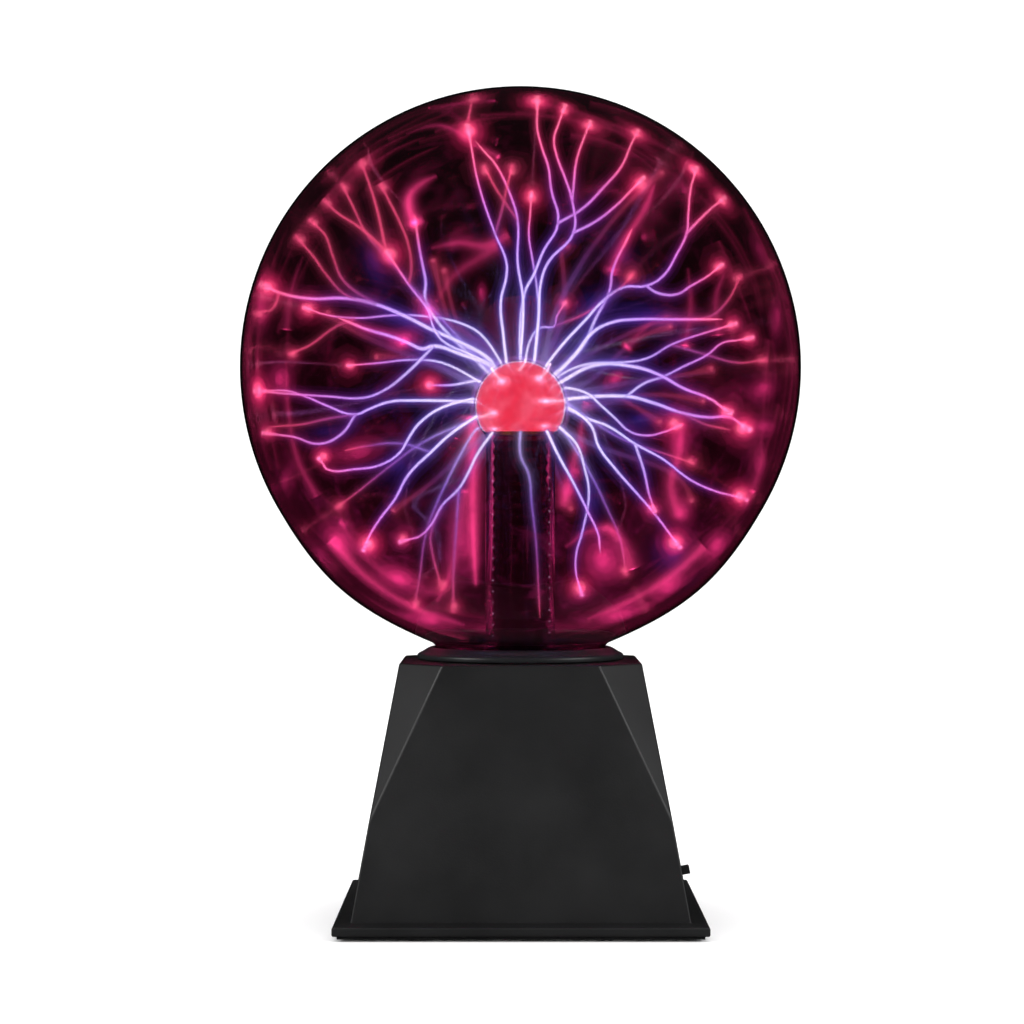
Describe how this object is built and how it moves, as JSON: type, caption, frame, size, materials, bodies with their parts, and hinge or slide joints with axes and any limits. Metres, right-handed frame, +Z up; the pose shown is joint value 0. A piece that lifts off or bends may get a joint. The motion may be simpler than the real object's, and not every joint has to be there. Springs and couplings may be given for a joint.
{
  "type": "plasma ball",
  "caption": "Plasma ball: gas-filled glass globe with a central electrode on a faceted black moulded stand with a slide switch.",
  "frame": {"origin": "on the desk under the centre of the stand", "axes": "+Z up along the globe's axis, -Y to the front, +X to the side with the mode switch"},
  "size_m": [0.2, 0.2, 0.296],
  "materials": {
    "clear_glass": "blown soda-lime glass, lit from inside",
    "black_abs": "moulded ABS, fine satin",
    "dark_abs": "moulded ABS, satin",
    "black_rubber": "moulded rubber",
    "electrode_glow": "steel wool lit by the discharge",
    "brass": "turned brass",
    "zinc_steel": "zinc-plated steel",
    "board_laminate": "glass-fibre laminate with green solder mask",
    "ferrite": "sintered ferrite",
    "coil_tape": "polyester winding tape",
    "aluminium": "extruded aluminium",
    "capacitor_sleeve": "shrunk sleeve",
    "film_coating": "epoxy coating",
    "chip_epoxy": "moulded epoxy",
    "red_wire": "PVC insulation",
    "black_wire": "PVC insulation",
    "white_wire": "PVC insulation",
    "silicone": "silicone insulation"
  },
  "bodies": {
    "stand": {"board_screw_1": "zinc_steel", "board_screw_2": "zinc_steel", "board_screw_3": "zinc_steel", "board_screw_4": "zinc_steel", "bottom_cover": "black_abs", "bulk_capacitor": "capacitor_sleeve", "circuit_board": "board_laminate", "clamp_screw_1": "zinc_steel", "clamp_screw_2": "zinc_steel", "clamp_screw_3": "zinc_steel", "clamp_screw_4": "zinc_steel", "collar_ring": "dark_abs", "cover_screw_1": "zinc_steel", "cover_screw_2": "zinc_steel", "cover_screw_3": "zinc_steel", "cover_screw_4": "zinc_steel", "driver_chip": "chip_epoxy", "electrode_contact": "brass", "electrode_wool": "electrode_glow", "exhaust_pip": "clear_glass", "film_capacitor": "film_coating", "flyback_coil": "coil_tape", "flyback_core": "ferrite", "glass_globe": "clear_glass", "globe_clamp_ring": "dark_abs", "heat_sink": "aluminium", "housing_shell": "black_abs", "hv_lead": "silicone", "jack_lead_minus": "black_wire", "jack_lead_plus": "red_wire", "jack_nut": "zinc_steel", "jack_pin": "brass", "mic_grommet": "black_rubber", "mic_lead_1": "white_wire", "mic_lead_2": "black_wire", "microphone": "aluminium", "neck_gasket": "black_rubber", "power_jack": "black_abs", "power_transistor": "chip_epoxy", "ribbed_sleeve": "black_abs", "rubber_foot_1": "black_rubber", "rubber_foot_2": "black_rubber", "rubber_foot_3": "black_rubber", "rubber_foot_4": "black_rubber", "stem_tube": "clear_glass", "switch_body": "zinc_steel", "switch_lead_1": "red_wire", "switch_lead_2": "black_wire", "switch_screw_1": "zinc_steel", "switch_screw_2": "zinc_steel", "transistor_screw": "zinc_steel"},
    "slider": {"switch_slider": "black_abs"}
  },
  "joints": [
    {"name": "mode_switch", "type": "slide", "parent": "stand", "child": "slider", "axis": [0, 1, 0], "range_m": [-0.002, 0.002]}
  ]
}
